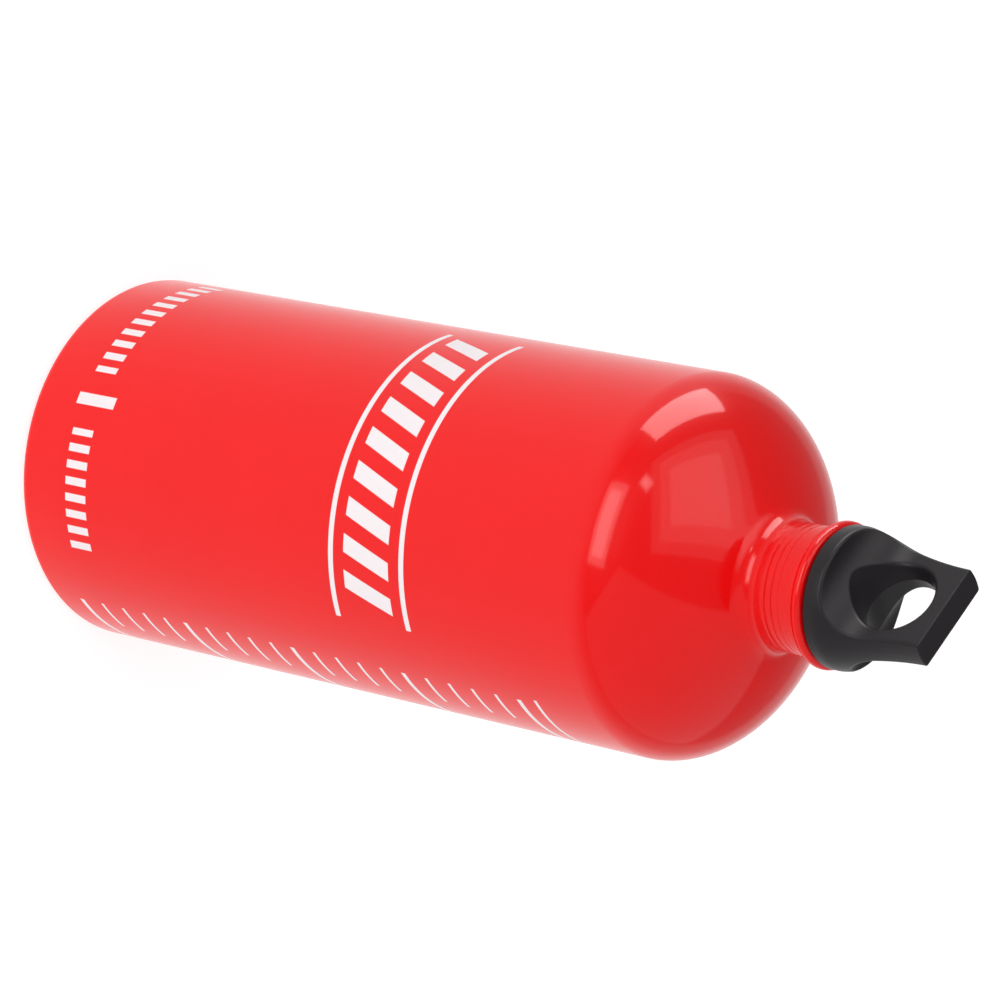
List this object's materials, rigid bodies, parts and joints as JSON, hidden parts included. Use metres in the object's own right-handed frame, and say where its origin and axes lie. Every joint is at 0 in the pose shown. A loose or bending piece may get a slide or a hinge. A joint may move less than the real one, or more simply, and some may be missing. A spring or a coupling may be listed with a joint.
{
  "type": "camping fuel bottle",
  "caption": "Round aluminium fuel bottle with a domed shoulder, narrow threaded neck and curled rim, closed by a plastic screw cap with a carrying loop and a rubber ring seal.",
  "frame": {"origin": "centre of the standing ring, at the middle of the bottle's base", "axes": "+Z along the bottle's axis towards the cap; X along the width of the cap's loop; Y through its finger hole"},
  "size_m": [0.098, 0.098, 0.267],
  "materials": {
    "painted_shell": null,
    "seal_rubber": "matt black nitrile rubber",
    "cap_plastic": "matt black moulded plastic with a fine spark-eroded grain"
  },
  "bodies": {
    "bottle": {"bottle_shell": "painted_shell"},
    "seal": {"cap_seal": "seal_rubber"},
    "cap": {"loop_cap": "cap_plastic"}
  },
  "joints": [
    {"name": "cap_lift", "type": "slide", "parent": "bottle", "child": "seal", "axis": [0, 0, 1], "range_m": [0, 0.0201]},
    {"name": "cap_turn", "type": "hinge", "parent": "seal", "child": "cap", "pos_m": [0, 0, 0.2367], "axis": [0, 0, 1], "range_deg": [0, 3600]}
  ],
  "couplings": [
    {"joint": "cap_lift", "follows": "cap_turn", "m_per_rad": 0.00031831}
  ]
}
